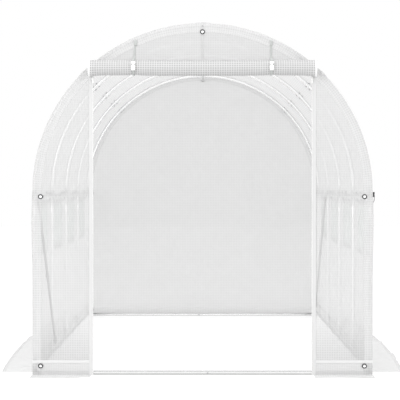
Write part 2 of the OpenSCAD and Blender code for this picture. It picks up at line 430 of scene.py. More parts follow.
def thread_mask(tree, axis, pitch, width):
    """1 on a thread and 0 between threads, along one axis of the cloth."""
    in_pitches = math_node(tree, "DIVIDE", axis, pitch)
    wave = math_node(tree, "PINGPONG", in_pitches, 0.5)
    edge = width / pitch / 2
    return ramp_between(tree, wave, edge * 0.75, edge * 1.25, 1.0, 0.0)


def net_of_threads(tree, pitch, width):
    """1 on the threads of a square net and 0 in its squares."""
    return math_node(tree, "MAXIMUM", *[thread_mask(tree, axis, pitch, width) for axis in cloth_axes(tree)])


def object_vector(tree):
    """The place of each point in the object's own coordinates, in metres, as a socket."""
    return add_node(tree, "ShaderNodeTexCoord").outputs["Object"]


def noise(tree, vector, scale, detail=2.0):
    """A soft noise between 0 and 1 at a vector socket."""
    inputs = {"Vector": vector, "Scale": scale, "Detail": detail}
    return add_node(tree, "ShaderNodeTexNoise", inputs).outputs["Fac"]


def bump(tree, height, distance, strength):
    """A Bump node's normal from a height socket."""
    inputs = {"Height": height, "Distance": distance, "Strength": strength}
    return add_node(tree, "ShaderNodeBump", inputs).outputs["Normal"]


def grey(tone):
    """A neutral colour of one tone."""
    return (tone, tone, tone)

# %% Woven film materials
GRID_PITCH = 0.014
THREAD_WIDTH = 0.0034
# Painted shade at the foot of a wall: the heights where it fades out, and how much it darkens the film's
# tone.
FOOT_SHADE_LOW, FOOT_SHADE_HIGH = 0.05, 0.45
FOOT_SHADE_DARKENS = 0.55
HAZE_SHIFT = 0.015


def film_material(name, clear=0.40, thread_clear=0.30, film=0.72, thread=0.70, glow=0.45, foot_shade=0.0):
    """Woven film: hazy see-through squares between whiter threads.

    Clear is how much of the squares is open to the view, thread_clear the same for the
    threads, film and thread are their tones, and glow is the share of light that soaks
    through and comes out of the far side. The last argument sets painted shade at the foot
    of a wall: how much of the clearness and the tone is taken away there, near the ground.
    """
    material, tree = new_material(name)
    threads = net_of_threads(tree, GRID_PITCH, THREAD_WIDTH)
    haze = noise(tree, object_vector(tree), 9.0)
    haze_shift = ramp_between(tree, haze, 0.3, 0.7, -HAZE_SHIFT, HAZE_SHIFT)
    height = add_node(tree, "ShaderNodeSeparateXYZ", {"Vector": object_vector(tree)}).outputs["Z"]
    # Painted shade: below the upper height the film loses tone and clearness, most at the ground.
    out_of_foot_shade = ramp_between(tree, height, FOOT_SHADE_LOW, FOOT_SHADE_HIGH)
    colour = mix_colours(tree, threads, grey(film), grey(thread))
    if foot_shade:
        colour = mix_colours(tree, out_of_foot_shade, grey(film * (1 - FOOT_SHADE_DARKENS * foot_shade)), colour)

    surface = add_node(tree, "ShaderNodeBsdfPrincipled", {
        "Base Color": colour, "Roughness": 0.45, "Specular IOR Level": 0.35,
        "Normal": bump(tree, threads, 0.0004, 0.6)})
    through = add_node(tree, "ShaderNodeBsdfTranslucent", {"Color": colour})
    solid = mix_shaders(tree, glow, surface, through)

    squares_open = ramp_between(tree, out_of_foot_shade, 0.0, 1.0, clear * (1 - foot_shade), clear)
    threads_open = ramp_between(tree, out_of_foot_shade, 0.0, 1.0, thread_clear * (1 - 2 * foot_shade), thread_clear)
    difference = math_node(tree, "SUBTRACT", threads_open, squares_open)
    open_share = math_node(tree, "ADD", squares_open, math_node(tree, "MULTIPLY", threads, difference))
    open_share = math_node(tree, "ADD", open_share, haze_shift, clamp=True)
    open_film = add_node(tree, "ShaderNodeBsdfTransparent")
    return finish_material(material, mix_shaders(tree, open_share, solid, open_film))


FILM = film_material("woven_film")
# The front walls' film carries painted shade at its foot.
WALL_FILM = film_material("wall_film", clear=0.50, thread_clear=0.43, foot_shade=0.33)
# Foot hem of the front walls: doubled film, so less of it is clear, with its tone set below the doubled
# film's as painted shade near the ground.
SHADED_FOOT_FILM = film_material("shaded_foot_film", clear=0.12, thread_clear=0.05, film=0.65, thread=0.59, glow=0.15,
                          foot_shade=0.10)
HEADER_FILM = film_material("header_film", clear=0.44, thread_clear=0.34, film=0.66, thread=0.64)
HEM_FILM = film_material("doubled_film", clear=0.34, thread_clear=0.15, film=0.76, glow=0.4)
GROUND_FILM = film_material("ground_film", clear=0.52, thread_clear=0.42, film=0.82, glow=0.3)
# The rolled door shows no see-through squares, because its turns cover each other. Its film tone is set far
# below the woven film's as painted shade among the turns.
SHADED_ROLLED_FILM = film_material("shaded_rolled_film", clear=0.0, thread_clear=0.0, film=0.47, thread=0.72, glow=0.15)
print("film net:", GRID_PITCH, "m squares,", THREAD_WIDTH, "m threads")

# %% [markdown]
# ## Steel, plastic and webbing
#
# The tubes are steel with a white powder coat, which has a faint orange peel. The end rails
# get darker copies of that coat, which paint shade and dark edges on them, and the braces
# get a darker coat too. The bolts are zinc plated. Caps and toggles are moulded black
# plastic, the buckles are white, and the straps and tapes are woven, with a rib across them.

# %% Hard materials
PEEL_SCALE = 900.0


def plain_material(name, colour, roughness, metallic=0.0, mottle=0.03, mottle_scale=18.0, peel=0.0):
    """A painted, plated or moulded surface with slight changes of tone and a fine bump.

    Its tone goes from colour * (1 - mottle) to colour * (1 + mottle), and peel is the height
    of the bump in metres.
    """
    material, tree = new_material(name)
    where = object_vector(tree)
    dark, light = [tuple(min(1.0, c * (1 + shift)) for c in colour) for shift in (-mottle, mottle)]
    inputs = {"Base Color": mix_colours(tree, noise(tree, where, mottle_scale, 4.0), dark, light),
              "Roughness": roughness, "Metallic": metallic}
    if peel:
        inputs["Normal"] = bump(tree, noise(tree, where, PEEL_SCALE), peel, 0.4)
    return finish_material(material, add_node(tree, "ShaderNodeBsdfPrincipled", inputs))


POWDER_COAT = plain_material("powder_coat", grey(0.88), 0.22, metallic=0.75, peel=0.0002)
# The end rails' coats are darker copies of the powder coat: painted shade for their dark edges, darker on the
# front rail than on the back.
FRONT_RAIL_SHADE_COAT = plain_material("front_rail_shade_coat", grey(0.58), 0.22, metallic=0.85, peel=0.0002)
BACK_RAIL_SHADE_COAT = plain_material("back_rail_shade_coat", grey(0.75), 0.22, metallic=0.85, peel=0.0002)
BRACE_COAT = plain_material("brace_coat", grey(0.50), 0.35, metallic=0.6, mottle=0.06, peel=0.0002)
CLAMP_COAT = plain_material("clamp_coat", grey(0.86), 0.4, peel=0.0003)
ZINC = plain_material("zinc_plate", (0.42, 0.42, 0.43), 0.42, metallic=0.7, mottle=0.12, mottle_scale=60.0)
BLACK_PLASTIC = plain_material("black_plastic", (0.022, 0.023, 0.024), 0.5, mottle=0.15, peel=0.0003)
WHITE_PLASTIC = plain_material("white_plastic", (0.93, 0.93, 0.92), 0.3, mottle=0.02)

# %% Webbing
NARROW_RIB = 0.0012
WIDE_RIB = 0.0016


def webbing_material(name, colour, dark, rib=NARROW_RIB):
    """Woven tape: ribs across its length, read from the flat cloth coordinates."""
    material, tree = new_material(name)
    across, along = cloth_axes(tree)
    ribs = math_node(tree, "PINGPONG", math_node(tree, "DIVIDE", along, rib), 0.5)
    yarn = math_node(tree, "PINGPONG", math_node(tree, "DIVIDE", across, rib * 0.8), 0.5)
    weave = math_node(tree, "ADD", ribs, math_node(tree, "MULTIPLY", yarn, 0.6), clamp=True)
    return finish_material(material, add_node(tree, "ShaderNodeBsdfPrincipled", {
        "Base Color": mix_colours(tree, weave, dark, colour), "Roughness": 0.85, "Sheen Weight": 0.2,
        "Specular IOR Level": 0.2, "Normal": bump(tree, weave, 0.0004, 0.7)}))


ZIP_WEB = webbing_material("zip_webbing", grey(0.66), grey(0.58))
FOOT_WEB = webbing_material("foot_webbing", grey(0.72), grey(0.64))
WHITE_TAPE = webbing_material("white_tape", grey(0.80), grey(0.72))
STRAP_WEB = webbing_material("strap_webbing", (0.53, 0.545, 0.535), (0.42, 0.435, 0.425), WIDE_RIB)
print(len(bpy.data.materials), "materials so far, the CAD model's own among them")

# %% [markdown]
# ## Tubes
#
# A tube is a circle carried along a path. Each long run is really two or three tubes pushed
# together: one end is squeezed narrower and slides into the next. That leaves a small
# groove in the outline, so the radius is a function of the distance along the path.

# %% Tubes along a path
TUBE_SIDES = 20
CLOSED = 1e-4        # the radius at the middle of a closed end


def swept_tube(path, radius, up, sides=TUBE_SIDES):
    """A circle carried along a path of points, with closed ends.

    At each point the circle lies in the plane across the path's direction t. Its first
    axis is a = up x t, its second b = t x a, and a point of the rim is
    path + radius * (cos(angle) * a + sin(angle) * b). The ends shrink to the middle.
    """
    radius = np.concatenate([[CLOSED], np.broadcast_to(radius, (len(path),)), [CLOSED]])
    tangent = np.gradient(path, axis=0)
    tangent = np.vstack([tangent[:1], tangent, tangent[-1:]])
    path = np.vstack([path[:1], path, path[-1:]])
    tangent /= np.linalg.norm(tangent, axis=1, keepdims=True)
    a = np.cross(np.broadcast_to(up, tangent.shape), tangent)
    a /= np.linalg.norm(a, axis=1, keepdims=True)
    b = np.cross(tangent, a)
    turn = np.linspace(0, 2 * np.pi, sides, endpoint=False)
    angle = turn[None, :, None]
    rim = path[:, None] + radius[:, None, None] * (np.cos(angle) * a[:, None] + np.sin(angle) * b[:, None])
    uv = stacked(turn[None, :] * radius.max(), run_along(path)[:, None])
    return grid_arrays(rim[:, ::-1], uv[:, ::-1], close_columns=True)


GROOVE_DEPTH = 0.0012
GROOVE_HALF = 0.003
GROOVE_STEPS = np.array([-1.6, -1.2, -0.9, -0.5, 0, 0.5, 0.9, 1.2, 1.6])


def grooved(distance, radius, joints):
    """The tube's radius at each distance, less a smooth groove at each joint."""
    out = np.full(distance.shape, radius)
    for joint in joints:
        out -= GROOVE_DEPTH * np.exp(-((distance - joint) / GROOVE_HALF) ** 4)
    return out


def with_joints(distance, joints):
    """Adds the close-set distances that a groove needs to a list of distances."""
    extra = [joint + GROOVE_HALF * GROOVE_STEPS for joint in joints]
    return np.unique(np.clip(np.concatenate([distance, *extra]), distance[0], distance[-1]).round(6))


def straight_tube(start, end, radius, joints=()):
    """A straight tube with grooves at the given distances from its start."""
    start, end = np.array(start, dtype=float), np.array(end, dtype=float)
    length = np.linalg.norm(end - start)
    distance = with_joints(np.linspace(0, length, 9), joints)
    path = start + (end - start) / length * distance[:, None]
    up = (0, 0, 1) if abs(end[2] - start[2]) < 0.7 * length else (0, 1, 0)
    return swept_tube(path, grooved(distance, radius, joints), up)


SHOULDER = math.radians(45)


def arch_tube(y):
    """One hoop's arch from springing to springing, with a groove at both shoulders."""
    joints = [HOOP_R * SHOULDER, HOOP_R * (math.pi - SHOULDER)]
    distance = with_joints(np.linspace(0, math.pi * HOOP_R, 61), joints)
    angle = distance / HOOP_R
    path = stacked(HOOP_R * np.cos(angle), y, SPRING_Z + HOOP_R * np.sin(angle))
    return swept_tube(path, grooved(distance, TUBE_R, joints), (0, 1, 0))


def tube_piece(name, tubes, nodes, material=POWDER_COAT):
    """One piece from several tubes, which stands for the named CAD nodes."""
    piece = link_mesh(name, *join_arrays(tubes), materials=[material])
    weld(piece)
    return place(piece, "frame_tube", *nodes)

# %% [markdown]
# ## The frame
#
# The hoops come first: legs and arches as one piece, because a leg and its arch are one
# smooth line with a small groove where they meet. The rails, the ridge and the braces follow
# the boxes of their CAD nodes.

# %% Hoops
LEG_FOOT = 2 * TUBE_R + 0.0003       # the end hoops stand on the cross rails
LEG_TOP = SPRING_Z - 0.001
HOOP_NODES = ["hoop_legs_left", "hoop_legs_right", "hoop_shoulders_left", "hoop_shoulders_right",
              "hoop_crowns"]

hoop_tubes = []
for side, word in SIDES:
    for number, y in enumerate(HOOP_Y):
        foot = LEG_FOOT if number in (0, HOOP_COUNT - 1) else 0.0
        hoop_tubes.append(straight_tube((side * HOOP_R, y, foot), (side * HOOP_R, y, LEG_TOP), TUBE_R))
hoop_tubes += [arch_tube(y) for y in HOOP_Y]
hoops = tube_piece("hoops", hoop_tubes, HOOP_NODES)

# %% Rails
SPLICE_OFFSET = 0.06
FRONT_BOLT_X, BACK_BOLT_X = 0.03, -0.035
BOLT_OFFSET = 0.03


def rail_piece(name, joint_places, material=POWDER_COAT):
    """A rail that fills the box of its CAD node, jointed at the given places along it."""
    low, high = corners(name)
    middle, half_size = middle_and_half(name)
    axis = int(np.argmax(half_size))
    start, end = middle.copy(), middle.copy()
    start[axis], end[axis] = low[axis], high[axis]
    joints = [place_along - low[axis] for place_along in joint_places]
    tube = straight_tube(start, end, half_size[(axis + 1) % 3], joints)
    tube_piece(name + "_tube", [tube], [name], material)


for name in ("ridge_tube", "side_tube_left", "side_tube_right", "base_rail_left", "base_rail_right"):
    rail_piece(name, [y + SPLICE_OFFSET for y in HOOP_Y[1:-1]])
# The end rails take the darker copies of the coat, which are painted shade.
rail_piece("base_rail_front", [FRONT_BOLT_X - BOLT_OFFSET], FRONT_RAIL_SHADE_COAT)
rail_piece("base_rail_back", [BACK_BOLT_X + BOLT_OFFSET], BACK_RAIL_SHADE_COAT)

# %% Braces
COLLAR_HALF = 0.03
COLLAR_SWELL = 1.18


def brace_piece(name):
    """The diagonal tube, which fills the diagonal of its box less its own thickness.

    A collar sleeves its middle joint. Gives back the point of that joint.
    """
    low, high = corners(name)
    radius = (high[0] - low[0]) / 2
    lean = math.atan2(high[2] - low[2], high[1] - low[1])
    inset_y, inset_z = radius * math.sin(lean), radius * math.cos(lean)
    x = (low[0] + high[0]) / 2
    start = np.array([x, low[1] + inset_y, high[2] - inset_z])
    end = np.array([x, high[1] - inset_y, low[2] + inset_z])
    length = np.linalg.norm(end - start)
    middle = start + (end - start) * 0.5
    reach = (end - start) / length * COLLAR_HALF
    collar = straight_tube(middle - reach, middle + reach, radius * COLLAR_SWELL)
    tube = straight_tube(start, end, radius, [length * 0.5])
    tube_piece(name + "_tube", [tube, collar], [name], BRACE_COAT)
    return middle


brace_middles = [brace_piece(name) for name in ("brace_left", "brace_right")]

# %% [markdown]
# ## Clamps, bolts and end caps
#
# A moulded clamp holds each crossing of a hoop and a rail. Its CAD solid is right, so it
# keeps its shape and only gets a finish. The bolts are small, and there are many of them:
# one bolt is a turned profile with twelve sides, and all the others are copies of its points.

# %% Turned shapes and their copies
def turned(profile, sides):
    """A profile of (radius, height) points turned about the z axis, as a grid."""
    profile = np.asarray(profile, dtype=float)
    angle = np.linspace(0, 2 * np.pi, sides, endpoint=False)
    return stacked(profile[:, :1] * np.cos(angle), profile[:, :1] * np.sin(angle), profile[:, 1:])


def repeated(template, places, directions):
    """Copies of a (rows, columns, 3) grid: its z axis turned to each direction, at each place.

    Each copy has axes a and b at right angles to its direction d, and a point (x, y, z) of
    the template goes to place + x a + y b + z d. All the copies are worked out at once.
    """
    places = np.asarray(places, dtype=float)
    directions = np.broadcast_to(np.asarray(directions, dtype=float), places.shape)
    directions = directions / np.linalg.norm(directions, axis=1, keepdims=True)
    helper = np.where(np.abs(directions[:, 2:]) < 0.9, [[0.0, 0.0, 1.0]], [[0.0, 1.0, 0.0]])
    a = np.cross(helper, directions)
    a /= np.linalg.norm(a, axis=1, keepdims=True)
    axes = np.stack([a, np.cross(directions, a), directions], axis=1)
    points = np.einsum("rcx,kxy->krcy", template, axes) + places[:, None, None]
    vertices, quads, _ = grid_arrays(template, close_columns=True)
    faces = (quads[None] + np.arange(len(places))[:, None, None] * len(vertices)).reshape(-1, 4)
    return points.reshape(-1, 3), faces, None

# %% Bolts
BOLT_HEAD = turned([(CLOSED, 0), (0.0056, 0), (0.0058, 0.0008), (0.0046, 0.0012), (0.0044, 0.0036),
                    (0.0034, 0.0042), (CLOSED, 0.0044)], 12)
SHOULDER_BOLT_GAP = 0.030
LEG_BOLT_Z = (0.047, SPRING_Z - 0.014)
RIDGE_BOLT_X = -0.001
BRACE_BOLT_X = 0.0092
CLAMP_BOLT_GAP = 0.0025

bolt_places, bolt_ways = [], []
for y in HOOP_Y:
    for angle in (SHOULDER, math.pi - SHOULDER):
        for offset in (-0.5, 0.5):
            at = angle + offset * SHOULDER_BOLT_GAP / HOOP_R
            outward = np.array([math.cos(at), 0, math.sin(at)])
            middle = np.array([0, y, SPRING_Z]) + HOOP_R * outward
            bolt_places += [middle - outward * TUBE_R, middle + outward * TUBE_R]
            bolt_ways += [-outward, outward]
    bolt_places += [(0.0, y - TUBE_R, SPRING_Z + HOOP_R), (RIDGE_BOLT_X, y + TUBE_R, SPRING_Z + HOOP_R)]
    bolt_ways += [(0, -1, 0), (0, 1, 0)]
    for side, word in SIDES:
        bolt_places += [(side * (HOOP_R + TUBE_R), y, z) for z in LEG_BOLT_Z]
        bolt_ways += [(side, 0, 0)] * len(LEG_BOLT_Z)
for rail, x in (("base_rail_front", FRONT_BOLT_X), ("base_rail_back", BACK_BOLT_X)):
    low, high = corners(rail)
    bolt_places += [(x, low[1], high[2] / 2), (x, high[1], high[2] / 2)]
    bolt_ways += [(0, -1, 0), (0, 1, 0)]
for middle in brace_middles:
    for side, word in SIDES:
        bolt_places.append(middle + np.array([side * BRACE_BOLT_X, 0, 0]))
        bolt_ways.append((side, 0, 0))
for node in ("side_tube", "base_rail"):
    for side, word in SIDES:
        middle = middle_and_half(f"{node}_{word}")[0]
        bolt_places += [(side * (abs(middle[0]) - RAIL_R - CLAMP_BOLT_GAP), y, middle[2]) for y in HOOP_Y]
        bolt_ways += [(-side, 0, 0)] * HOOP_COUNT
bolts = link_mesh("bolts", *repeated(BOLT_HEAD, bolt_places, bolt_ways), materials=[ZINC], smooth=False)
weld(bolts)
place(bolts, "clamp")

# %% Clamps and end caps
for material_slot in bpy.data.objects["cross_clamps"].material_slots:
    material_slot.material = CLAMP_COAT

CAP_R = RAIL_R + 0.002
CAP_T = 0.005
CAP_DISH = 0.0022
CAP_SIDES = 24
CAP_CLEARANCE = 0.0012       # a cap sits just outside the sheet of its end
cap_profile = [(CLOSED, CAP_DISH), (CAP_R * 0.60, CAP_DISH), (CAP_R * 0.63, CAP_T * 0.85),
               (CAP_R * 0.68, CAP_T), (CAP_R * 0.9, CAP_T), (CAP_R, CAP_T * 0.8), (CAP_R, 0.0), (CLOSED, 0.0)]
cap_places, cap_ways = [], []
for node in ("side_tube_left", "side_tube_right", "base_rail_left", "base_rail_right", "ridge_tube"):
    low, high = corners(node)
    middle = (low + high) / 2
    front_end, back_end = min(low[1], FRONT_Y - CAP_CLEARANCE), max(high[1], BACK_Y + CAP_CLEARANCE)
    cap_places += [(middle[0], front_end, middle[2]), (middle[0], back_end, middle[2])]
    cap_ways += [(0, -1, 0), (0, 1, 0)]
cap_arrays = repeated(turned(cap_profile, CAP_SIDES), cap_places, cap_ways)
faces_per_cap = len(cap_arrays[1]) // len(cap_places)
light_centre = np.tile(np.arange(faces_per_cap) < CAP_SIDES, len(cap_places)).astype(int)
caps = link_mesh("end_caps", *cap_arrays, materials=[BLACK_PLASTIC, POWDER_COAT], face_material=light_centre)
weld(caps)
place(caps, "end_cap", "tube_end_caps")

# %% [markdown]
# ## The cover
#
# One long sheet goes up one wall, over the arch and down the other. Its flat coordinates
# are the way round the arch and the way along the tunnel. Between two hoops the pulled
# film can't stay round: it sinks a few millimetres towards the middle, so the hoops show.
# Windows are cut by leaving out cells of the grid.

# %% Sizes of the cover and its windows
SHEET_R = COVER_R - 0.001
ARCH_LENGTH = math.pi * SHEET_R
GIRTH = 2 * SPRING_Z + ARCH_LENGTH
COVER_Y = (roof_low[1], roof_high[1])
HEM = 0.070
TAPE_LOW, TAPE_HIGH = 0.072, 0.088
screen_low, screen_high = corners("window_screens_right")
flap_low, flap_high = corners("window_flaps_right")
WINDOW_Z = (screen_low[2], screen_high[2])
FLAP_Z = (flap_low[2], flap_high[2])
BAY_Y = (HOOP_Y[:-1] + HOOP_Y[1:]) / 2
WINDOW_HALF = (screen_high[1] - screen_low[1]) / 2 - 1.5 * BAY
FLAP_HALF = (flap_high[1] - flap_low[1]) / 2 - 1.5 * BAY
print(f"windows {2 * WINDOW_HALF:.3f} wide, from z {WINDOW_Z[0]:.3f} to {WINDOW_Z[1]:.3f}")
print(f"flaps {2 * FLAP_HALF:.3f} wide")

# %% The cover's shape
FILM_STANDS = 0.003          # over a hoop's arch, how far the film stands out
FILM_SINKS = 0.011           # half way between two hoops, how far it sinks from there
RIPPLE, CREASE = 0.0014, 0.0005
CREASE_WAVE = 0.085
FLAP_SWELL, FLAP_MIDDLE_Z = 0.006, 0.87
SHOULDER_BUMP, RIDGE_BUMP = 0.0045, 0.0055


def ripples(u, v, count, shortest, longest, seed):
    """A smooth random field between about -1 and 1: the mean of sine waves in random directions."""
    source = np.random.default_rng(seed)
    total = np.zeros(np.broadcast(u, v).shape)
    for _ in range(count):
        wave = source.uniform(shortest, longest)
        angle, phase = source.uniform(0, 2 * np.pi, 2)
        total += np.sin(2 * np.pi * (u * np.cos(angle) + v * np.sin(angle)) / wave + phase)
    return total / math.sqrt(count)


def bell(x, middle, width):
    """A smooth bump: 1 at the middle, about 0 two widths away."""
    return np.exp(-((x - middle) / width) ** 2)


def profile_point(s):
    """The cover's cross-section: the point and the outward direction at a way s round it.

    s is 0 at the foot of the left wall. It runs up the wall, then round the arch at
    angle pi - (s - wall) / radius, then down the right wall.
    """
    angle = np.clip(math.pi - (s - SPRING_Z) / SHEET_R, 0, math.pi)
    x = SHEET_R * np.cos(angle)
    z = SPRING_Z + SHEET_R * np.sin(angle)
    z = np.where(s < SPRING_Z, s, np.where(s > SPRING_Z + ARCH_LENGTH, GIRTH - s, z))
    return x, z, np.cos(angle), np.sin(angle)


def cover_lift(s, y):
    """How far the sheet stands out from its plain profile, in metres.

    It sinks between hoops by sine squared of the way from hoop to hoop, has small random
    ripples and creases there, and is pushed out a little over bolt heads and behind the flaps.
    """
    inside = (y > HOOP_Y[0]) & (y < HOOP_Y[-1])
    from_hoop = np.where(inside, np.sin(np.pi * (y - HOOP_Y[0]) / BAY) ** 2, 0.0)
    on_arch = np.clip(np.minimum(s - SPRING_Z, SPRING_Z + ARCH_LENGTH - s) / 0.25, 0, 1)
    lift = FILM_STANDS * on_arch - FILM_SINKS * from_hoop * (0.25 + 0.75 * on_arch)
    lift = lift + RIPPLE * ripples(s, y, 12, 0.3, 0.9, 3) * from_hoop
    near_hoop = np.exp(-(np.abs(((y - HOOP_Y[0] + BAY / 2) % BAY) - BAY / 2) / 0.16) ** 2)
    lift = lift + CREASE * np.sin(2 * np.pi * s / CREASE_WAVE + 3 * np.sin(s * 2.1)) * near_hoop * from_hoop
    height = np.minimum(s, GIRTH - s)
    lift = lift + FLAP_SWELL * bell(height, FLAP_MIDDLE_Z, 0.22) * (height < SPRING_Z)
    for hoop_y in HOOP_Y:
        for angle in (SHOULDER, math.pi - SHOULDER):
            at = SPRING_Z + (math.pi - angle) * SHEET_R
            lift = lift + SHOULDER_BUMP * np.exp(-((s - at) / 0.026) ** 4) * bell(y, hoop_y, 0.016)
        lift = lift + RIDGE_BUMP * np.exp(-((s - GIRTH / 2) / 0.046) ** 4) * bell(y, hoop_y, 0.022)
    return lift

# %% The cover's grid lines
NEAR_HOOP = np.array([-0.04, -0.028, -0.018, -0.009, 0, 0.009, 0.018, 0.028, 0.04])
wall_s = spaced((0, HEM, 3), (HEM, TAPE_LOW, 1), (TAPE_LOW, TAPE_HIGH, 1), (TAPE_HIGH, WINDOW_Z[0], 22),
                (WINDOW_Z[0], WINDOW_Z[1], 12), (WINDOW_Z[1], SPRING_Z, 4))
bolt_s = [SPRING_Z + ARCH_LENGTH * share for share in (0.25, 0.5, 0.75)]
arch_s = [np.linspace(SPRING_Z, SPRING_Z + ARCH_LENGTH, 121)]
arch_s += [np.linspace(s - 0.06, s + 0.06, 17) for s in bolt_s]
cover_s = np.unique(np.concatenate([wall_s, *arch_s, GIRTH - wall_s]).round(6))
cover_s = cover_s[np.concatenate([[True], np.diff(cover_s) > 5e-4])]
window_edges = [y + edge for y in BAY_Y for edge in (-WINDOW_HALF, WINDOW_HALF)]
cover_y = [np.linspace(*COVER_Y, 97), *[y + NEAR_HOOP for y in HOOP_Y], window_edges]
cover_y = np.unique(np.concatenate(cover_y).round(6))
cover_y = cover_y[(cover_y >= COVER_Y[0] - 1e-6) & (cover_y <= COVER_Y[1] + 1e-6)]
for edge in window_edges:
    from_edge = np.abs(cover_y - edge)
    cover_y = cover_y[(from_edge > 4e-3) | (from_edge < 1e-6)]
print(len(cover_s), "lines round the cover and", len(cover_y), "along it")

# %% Cover sheet
s_grid, y_grid = np.meshgrid(cover_s, cover_y, indexing="ij")
x, z, out_x, out_z = profile_point(s_grid)
lift = cover_lift(s_grid, y_grid)
cover_points = np.stack([x + lift * out_x, y_grid, z + lift * out_z], axis=-1)
mid_s, mid_y = (cover_s[:-1] + cover_s[1:]) / 2, (cover_y[:-1] + cover_y[1:]) / 2
mid_height = np.minimum(mid_s, GIRTH - mid_s)[:, None]
in_window_z = (mid_height > WINDOW_Z[0]) & (mid_height < WINDOW_Z[1])
in_window_y = (np.abs(mid_y[:, None] - BAY_Y).min(axis=1) < WINDOW_HALF)[None, :]
on_tape = (mid_height > TAPE_LOW) & (mid_height < TAPE_HIGH)
cover_slots = np.where(mid_height < HEM, 1, np.where(on_tape, 2, 0))
cover = sheet_mesh("cover", cover_points, stacked(s_grid, y_grid), [FILM, HEM_FILM, WHITE_TAPE], cover_slots,
                   keep=~(in_window_z & in_window_y), flip=True)
weld(cover, outwards=False)
place(cover, "cover_fabric", "roof_cover", "side_wall_left", "side_wall_right")

# %% [markdown]
# ## Windows
#
# Each bay has a window in each wall. A fine net keeps insects out, and a flap of the film
# hangs over it from outside, tied shut by a toggle at each upper corner. A flap is a little
# slack, so it bows outwards, and its edge is doubled.

# %% Insect net material
NET_PITCH = 0.002
NET_THREAD = 0.0006


def net_material():
    """Fine insect net: a hair-thin grid with a faint green-grey tone."""
    material, tree = new_material("insect_net")
    threads = net_of_threads(tree, NET_PITCH, NET_THREAD)
    tone = mix_colours(tree, noise(tree, object_vector(tree), 14.0), (0.74, 0.79, 0.765), (0.80, 0.84, 0.82))
    yarn = add_node(tree, "ShaderNodeBsdfPrincipled", {
        "Base Color": tone, "Roughness": 0.6, "Specular IOR Level": 0.3})
    gap = add_node(tree, "ShaderNodeBsdfTransparent")
    open_share = ramp_between(tree, threads, 0.0, 1.0, 0.9, 0.05)
    return finish_material(material, mix_shaders(tree, open_share, yarn, gap))


NET = net_material()

# %% Nets and flaps
SEAM = 0.022
NET_LAP = 0.012
NET_OFFSET, FLAP_OFFSET = -0.0012, 0.0018
NET_BOW = -0.002
FLAP_BOW = {-1: 0.016, 1: 0.010}
NET_Z = (WINDOW_Z[0] - NET_LAP, WINDOW_Z[1] + NET_LAP)


def seamed_line(low, high, steps):
    """Places from low to high with a seam's width at each end and even steps between."""
    return spaced((low, low + SEAM, 1), (low + SEAM, high - SEAM, steps), (high - SEAM, high, 1))


def wall_sheet(name, side, y_middle, half_width, z_range, offset, bow, materials, seed):
    """A sheet on a side wall, bowed outwards by sin(pi u) ^ 0.7 * sin(pi v) ^ 0.6 times bow."""
    y_line = seamed_line(-half_width, half_width, 24) + y_middle
    z_line = seamed_line(*z_range, 14)
    z, y = np.meshgrid(z_line, y_line, indexing="ij")
    u = (y - y_line[0]) / (y_line[-1] - y_line[0])
    v = (z - z_line[0]) / (z_line[-1] - z_line[0])
    swell = np.sin(np.pi * u) ** 0.7 * np.sin(np.pi * np.clip(v, 0, 1)) ** 0.6
    x = SHEET_R + cover_lift(z, y) + offset + bow * swell * (1 + 0.3 * ripples(y, z, 6, 0.2, 0.6, seed))
    seam = np.ones((len(z_line) - 1, len(y_line) - 1), dtype=int)
    seam[1:-1, 1:-1] = 0
    return sheet_mesh(name, stacked(side * x, y, z), stacked(z, y), materials, seam, flip=side < 0)


for side, word in SIDES:
    for number, y in enumerate(BAY_Y, 1):
        net = wall_sheet(f"window_net_{word}_{number}", side, y, WINDOW_HALF + NET_LAP, NET_Z,
                         NET_OFFSET, NET_BOW, [NET, WHITE_TAPE], number)
        place(net, "window_mesh", f"window_screens_{word}")
        flap = wall_sheet(f"window_flap_{word}_{number}", side, y, FLAP_HALF, FLAP_Z,
                          FLAP_OFFSET, FLAP_BOW[side], [FILM, HEM_FILM], number + 10)
        place(flap, "cover_fabric", f"window_flaps_{word}")

# %% [markdown]
# ## Toggles
#
# A toggle is a short waisted barrel on a cord: the cord's loop goes through the flap's
# corner and round the barrel. The barrel is a turned profile, and the loop is a thin tube
# carried along an oval.

# %% Toggles and their loops
toggle_middle, toggle_half = middle_and_half("window_toggles_right")
TOGGLE_HALF, TOGGLE_R = toggle_half[2], toggle_half[0]
TOGGLE_OUT = corners("window_toggles_right")[1][1] - TOGGLE_R - BAY_Y[-1]
TOGGLE_HANG = {-1: 0.002, 1: 0.013}
LOOP_R = 0.0014

t = np.linspace(-1, 1, 15)
rounding = np.sqrt(np.clip(1 - np.abs(t) ** 10, 0, 1) * 0.999 + 1e-6)
barrel_radius = TOGGLE_R * (0.72 + 0.28 * np.abs(t) ** 1.6) * rounding
barrel = turned(stacked(barrel_radius, t * TOGGLE_HALF), 14)
turn = np.linspace(0, 2 * np.pi, 25)
for side, word in SIDES:
    toggle_x = side * (toggle_middle[0] + TOGGLE_HANG[side])
    centres = np.array([(toggle_x, y + end * TOGGLE_OUT, toggle_middle[2]) for y in BAY_Y for end in (-1, 1)])
    oval = stacked(side * (-0.009 + 0.013 * np.cos(turn)), 0.0, -0.024 + 0.026 * np.sin(turn))
    loops = [swept_tube(centre + oval, LOOP_R, (0, 1, 0), sides=6) for centre in centres]
    barrels = repeated(barrel, centres, (0.0, 0.0, 1.0))
    toggles = link_mesh(f"toggles_{word}", *join_arrays([barrels, *loops]), materials=[BLACK_PLASTIC])
    weld(toggles)
    place(toggles, "toggle", f"window_toggles_{word}")

# %% [markdown]
# ## End walls
#
# Both ends are flat sheets cut to the arch. The front is in three pieces: one beside each
# edge of the doorway and one over it. The cut is a simple rule: a column of the grid
# at x reaches up to the arch's height there, and the flat cloth coordinates stay x and z.

# %% End sheets
END_R = COVER_R - 0.0004
HEM_RING = 0.053
SEAM_LAP = 0.006
CUT_R = END_R - HEM_RING + SEAM_LAP
END_MATERIALS = [WALL_FILM, SHADED_FOOT_FILM]


